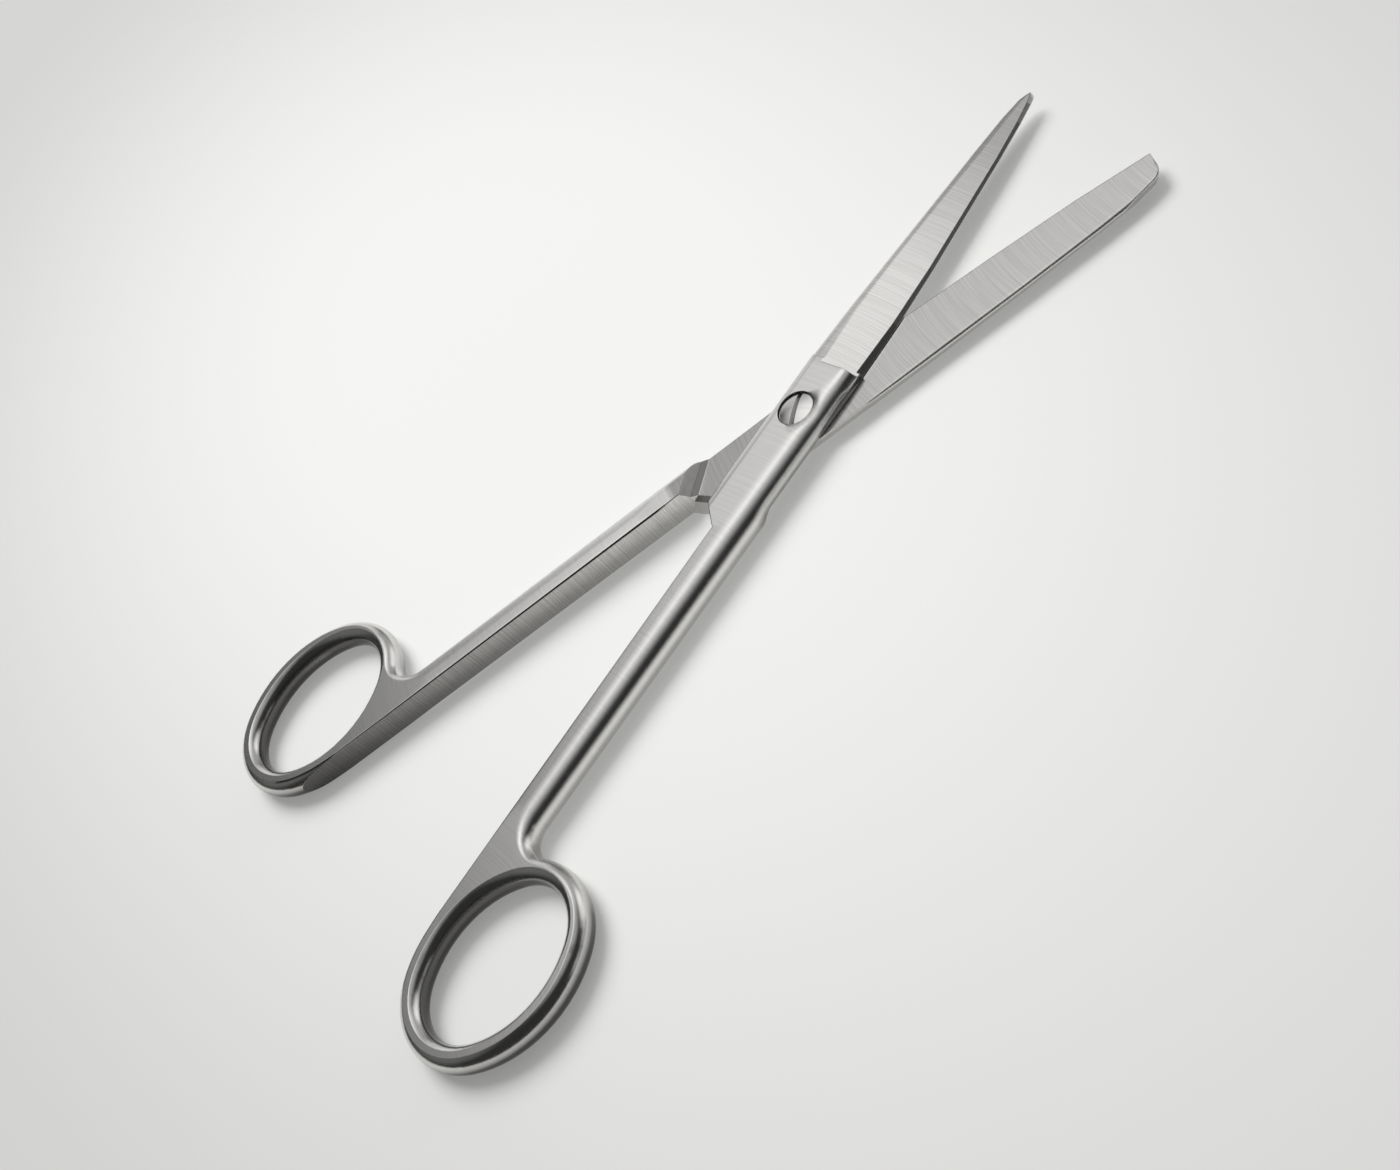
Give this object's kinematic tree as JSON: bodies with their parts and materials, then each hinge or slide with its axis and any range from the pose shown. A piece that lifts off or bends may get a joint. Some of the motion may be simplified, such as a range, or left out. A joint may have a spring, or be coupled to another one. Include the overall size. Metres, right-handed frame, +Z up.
{
  "type": "surgical scissors",
  "caption": "Straight steel operating scissors with a sharp-tipped and a blunt-tipped blade, oval finger rings and a slotted pivot screw.",
  "frame": {"origin": "where the pivot axis meets the rest surface, at the flush lower end of the screw", "axes": "+Z up from the rest surface along the pivot axis, +X along the line that halves the angle between the blades at rest, towards the tips"},
  "size_m": [0.1391, 0.0796, 0.0043],
  "materials": {
    "sharp_half": "satin",
    "blunt_half": "satin",
    "pivot_screw": "satin"
  },
  "bodies": {
    "lower_half": {"blunt_half": "blunt_half", "pivot_screw": "pivot_screw"},
    "upper_half": {"sharp_half": "sharp_half"}
  },
  "joints": [
    {"name": "scissor_pivot", "type": "hinge", "parent": "lower_half", "child": "upper_half", "pos_m": [0, 0, 0], "axis": [0, 0, 1], "range_deg": [-25.7, 112]}
  ]
}
